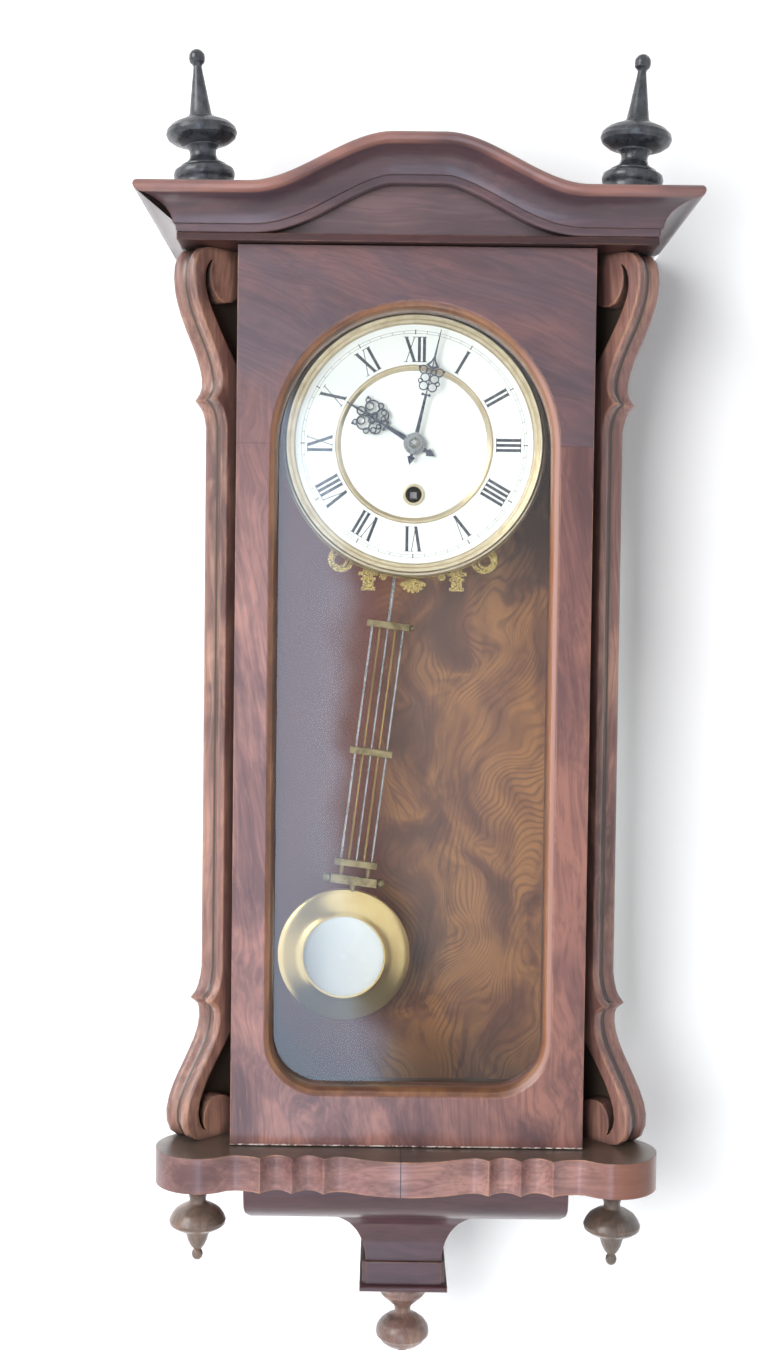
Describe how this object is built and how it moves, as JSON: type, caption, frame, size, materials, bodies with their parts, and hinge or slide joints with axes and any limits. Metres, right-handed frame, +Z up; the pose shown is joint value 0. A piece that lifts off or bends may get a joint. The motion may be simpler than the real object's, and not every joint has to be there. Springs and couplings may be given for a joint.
{
  "type": "wall regulator clock",
  "caption": "Tall wooden wall clock with an arched cornice, glazed swing door, scroll side brackets, enamel dial, going train and a swinging gridiron pendulum.",
  "frame": {"origin": "centre of the hanging hole in the plate at the back of the case, on the wall plane", "axes": "+X to the right as seen from the front, +Y into the wall, +Z up; the wall is the plane y = 0 and the clock is on its -y side"},
  "size_m": [0.3424, 0.2027, 0.846],
  "materials": {
    "walnut": "polished, worn",
    "black_wood": "ebonised, polished",
    "turned_wood": "polished, worn",
    "glass": "clear",
    "steel": "polished",
    "brass": "lacquered",
    "enamel": "white vitreous enamel",
    "blued_steel": "blued"
  },
  "bodies": {
    "case": {"back_board": "walnut", "hanger_plate": "steel", "hanger_screws": "steel", "side_frame_left": "walnut", "side_frame_right": "walnut", "side_glass_left": "glass", "side_glass_right": "glass", "top_board": "walnut", "frieze_panel": "walnut", "cornice_front": "walnut", "cornice_left": "walnut", "cornice_right": "walnut", "finial_left": "black_wood", "finial_right": "black_wood", "bracket_left": "walnut", "bracket_right": "walnut", "base_plinth": "walnut", "drop_left": "turned_wood", "drop_right": "turned_wood", "tail_block": "walnut", "tail_plate": "walnut", "tail_finial": "turned_wood", "hinge_pins": "steel", "movement_bracket": "steel", "front_plate": "brass", "back_plate": "brass", "pillars": "brass", "plate_nuts": "steel", "dial_plate": "brass", "dial_ring": "enamel", "dial_centre": "enamel", "dial_inner_ring": "brass", "dial_bezel": "brass", "winding_bush": "brass", "dial_ornament": "brass", "click_spring": "steel", "back_cock": "brass", "suspension_spring": "steel"},
    "door": {"door_frame": "walnut", "door_glass": "glass", "glazing_beads": "walnut", "catch_stud": "brass"},
    "minute works": {"minute_hand": "blued_steel", "hand_nut": "brass", "cannon_pinion": "steel", "centre_wheel": "brass"},
    "hour works": {"hour_hand": "blued_steel", "hour_wheel": "brass"},
    "minute wheel": {"minute_wheel": "brass"},
    "third wheel": {"third_wheel": "brass"},
    "escape wheel": {"escape_wheel": "brass"},
    "spring barrel": {"barrel": "brass"},
    "winding arbor": {"winding_arbor": "steel"},
    "click": {"click": "steel"},
    "anchor": {"anchor": "steel"},
    "pendulum": {"pendulum_steel_rods": "steel", "pendulum_brass_rods": "brass", "pendulum_crossbars": "brass", "bob_shell": "brass", "bob_face": "enamel"}
  },
  "joints": [
    {"name": "door_swing", "type": "hinge", "parent": "case", "child": "door", "pos_m": [0.1075, -0.167, -0.263], "axis": [0, 0, 1], "range_deg": [0, 100]},
    {"name": "minute_hand_turn", "type": "hinge", "parent": "case", "child": "minute works", "pos_m": [0, -0.12, -0.1009], "axis": [0, 1, 0], "continuous": true},
    {"name": "hour_hand_turn", "type": "hinge", "parent": "case", "child": "hour works", "pos_m": [0, -0.13, -0.1009], "axis": [0, 1, 0], "continuous": true},
    {"name": "minute_wheel_turn", "type": "hinge", "parent": "case", "child": "minute wheel", "pos_m": [-0.01353, -0.128, -0.10583], "axis": [0, 1, 0], "continuous": true},
    {"name": "barrel_turn", "type": "hinge", "parent": "case", "child": "spring barrel", "pos_m": [0, -0.1, -0.1329], "axis": [0, 1, 0], "continuous": true},
    {"name": "third_wheel_turn", "type": "hinge", "parent": "case", "child": "third wheel", "pos_m": [-0.00774, -0.1, -0.08246], "axis": [0, 1, 0], "continuous": true},
    {"name": "escape_wheel_turn", "type": "hinge", "parent": "case", "child": "escape wheel", "pos_m": [0.01093, -0.09, -0.08188], "axis": [0, 1, 0], "continuous": true},
    {"name": "winding_arbor_turn", "type": "hinge", "parent": "case", "child": "winding arbor", "pos_m": [0, -0.12, -0.1329], "axis": [0, 1, 0], "continuous": true},
    {"name": "click_lift", "type": "hinge", "parent": "case", "child": "click", "pos_m": [-0.0155, -0.125, -0.12165], "axis": [0, -1, 0], "range_deg": [0, 8], "stiffness_Nm_per_rad": 0.002, "springref_deg": -5.73},
    {"name": "pendulum_swing", "type": "hinge", "parent": "case", "child": "pendulum", "pos_m": [0, -0.061, -0.0949], "axis": [0, -1, 0], "range_deg": [-0.5, 14.5], "deforming": ["suspension_spring"]},
    {"name": "anchor_rock", "type": "hinge", "parent": "case", "child": "anchor", "pos_m": [0, -0.078, -0.0949], "axis": [0, -1, 0], "range_deg": [-0.5, 14.5]}
  ],
  "couplings": [
    {"joint": "hour_hand_turn", "follows": "minute_hand_turn", "ratio": 0.083333},
    {"joint": "minute_wheel_turn", "follows": "minute_hand_turn", "ratio": -0.33333},
    {"joint": "barrel_turn", "follows": "minute_hand_turn", "ratio": -0.15},
    {"joint": "third_wheel_turn", "follows": "minute_hand_turn", "ratio": -9},
    {"joint": "escape_wheel_turn", "follows": "minute_hand_turn", "ratio": 84.375},
    {"joint": "anchor_rock", "follows": "pendulum_swing", "ratio": 1}
  ]
}
